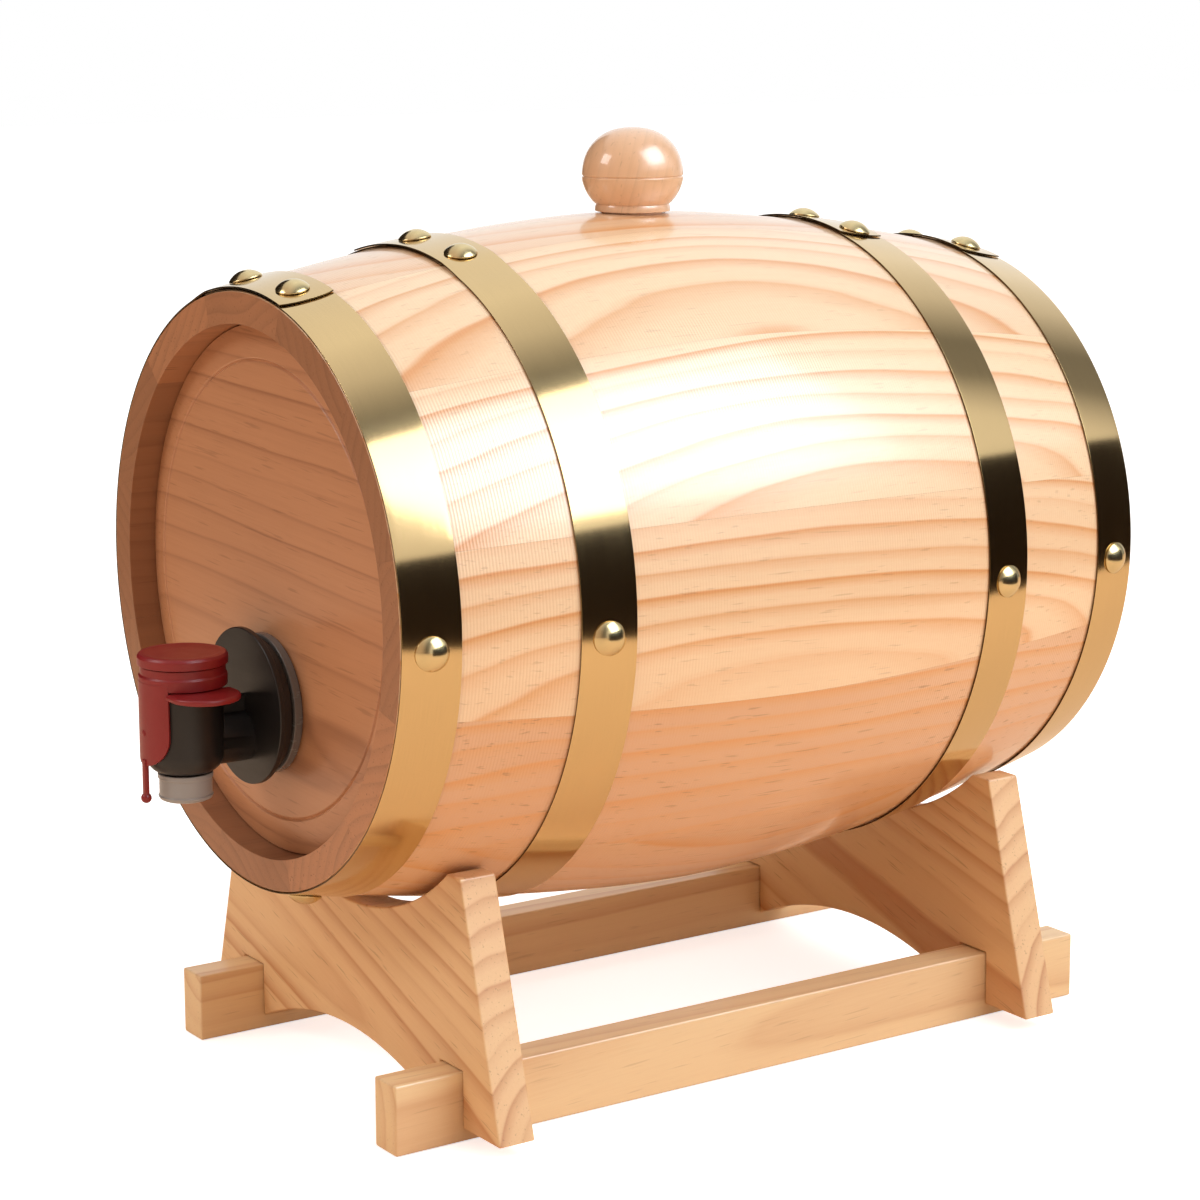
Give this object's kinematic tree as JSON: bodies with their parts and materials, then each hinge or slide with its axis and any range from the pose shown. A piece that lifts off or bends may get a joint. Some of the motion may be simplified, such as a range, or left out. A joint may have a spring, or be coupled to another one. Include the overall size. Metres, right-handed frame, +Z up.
{
  "type": "wine barrel dispenser",
  "caption": "Small lacquered wine barrel with brass hoops, lying on a wooden cradle stand, with a push-button tap, a knob bung and a foil liner inside.",
  "frame": {"origin": "middle of the bounding box in X and Y, on the surface that the rails stand on", "axes": "+Z up; the barrel's axis runs along Y with the tap facing -Y and the plain head facing +Y; +X is the side on the right of someone facing the tap"},
  "size_m": [0.2288, 0.329, 0.3106],
  "materials": {
    "stave_wood": "clear satin lacquer over pale turned wood",
    "head_wood": "clear satin lacquer over tan turned wood",
    "stand_wood": "thin clear lacquer over sawn pale wood",
    "knob_wood": "glossy lacquer over turned wood",
    "strap_brass": "brushed strap, lightly lacquered",
    "nail_brass": "polished",
    "screw_steel": "zinc plated",
    "black_plastic": "satin moulded",
    "red_plastic": "semi-gloss moulded",
    "cap_plastic": "milky, see-through",
    "gland_plastic": "smoky, slightly see-through",
    "white_plastic": "moulded",
    "seal_rubber": "matte",
    "liner_foil": "creased laminate film"
  },
  "bodies": {
    "stand": {"front_cradle": "stand_wood", "rear_cradle": "stand_wood", "left_rail": "stand_wood", "right_rail": "stand_wood", "front_left_screw": "screw_steel", "front_right_screw": "screw_steel", "rear_left_screw": "screw_steel", "rear_right_screw": "screw_steel"},
    "barrel": {"stave_01": "stave_wood", "stave_02": "stave_wood", "stave_03": "stave_wood", "stave_04": "stave_wood", "stave_05": "stave_wood", "stave_06": "stave_wood", "stave_07": "stave_wood", "stave_08": "stave_wood", "stave_09": "stave_wood", "stave_10": "stave_wood", "stave_11": "stave_wood", "stave_12": "stave_wood", "front_head": "head_wood", "rear_head": "head_wood", "front_chime_hoop": "strap_brass", "front_quarter_hoop": "strap_brass", "rear_chime_hoop": "strap_brass", "rear_quarter_hoop": "strap_brass", "front_chime_nail_1": "nail_brass", "front_chime_nail_2": "nail_brass", "front_chime_nail_3": "nail_brass", "front_chime_nail_4": "nail_brass", "front_chime_nail_5": "nail_brass", "front_quarter_nail_1": "nail_brass", "front_quarter_nail_2": "nail_brass", "front_quarter_nail_3": "nail_brass", "front_quarter_nail_4": "nail_brass", "front_quarter_nail_5": "nail_brass", "rear_chime_nail_1": "nail_brass", "rear_chime_nail_2": "nail_brass", "rear_chime_nail_3": "nail_brass", "rear_chime_nail_4": "nail_brass", "rear_chime_nail_5": "nail_brass", "rear_quarter_nail_1": "nail_brass", "rear_quarter_nail_2": "nail_brass", "rear_quarter_nail_3": "nail_brass", "rear_quarter_nail_4": "nail_brass", "rear_quarter_nail_5": "nail_brass", "tap_gland": "gland_plastic", "foil_liner": "liner_foil"},
    "bung": {"bung": "knob_wood"},
    "tap": {"tap_body": "black_plastic", "spigot_ring": "seal_rubber", "finger_grip": "red_plastic", "tamper_collar": "red_plastic", "return_diaphragm": "seal_rubber"},
    "button": {"push_button": "red_plastic", "valve_stem": "white_plastic", "valve_seal": "seal_rubber"},
    "cap": {"spout_cap": "cap_plastic"}
  },
  "joints": [
    {"name": "barrel_lift", "type": "slide", "parent": "stand", "child": "barrel", "axis": [0, 0, 1], "range_m": [0, 0.06]},
    {"name": "bung_pull", "type": "slide", "parent": "barrel", "child": "bung", "axis": [0, 0, 1], "range_m": [0, 0.04]},
    {"name": "tap_turn", "type": "hinge", "parent": "barrel", "child": "tap", "pos_m": [0, -0.14895, 0.1315], "axis": [0, 1, 0], "continuous": true},
    {"name": "button_push", "type": "slide", "parent": "tap", "child": "button", "axis": [0, 0, -1], "range_m": [0, 0.0026], "stiffness_N_per_m": 400, "springref_m": -0.002, "deforming": ["return_diaphragm"]},
    {"name": "cap_pull", "type": "slide", "parent": "tap", "child": "cap", "axis": [0, 0, -1], "range_m": [0, 0.02]}
  ]
}
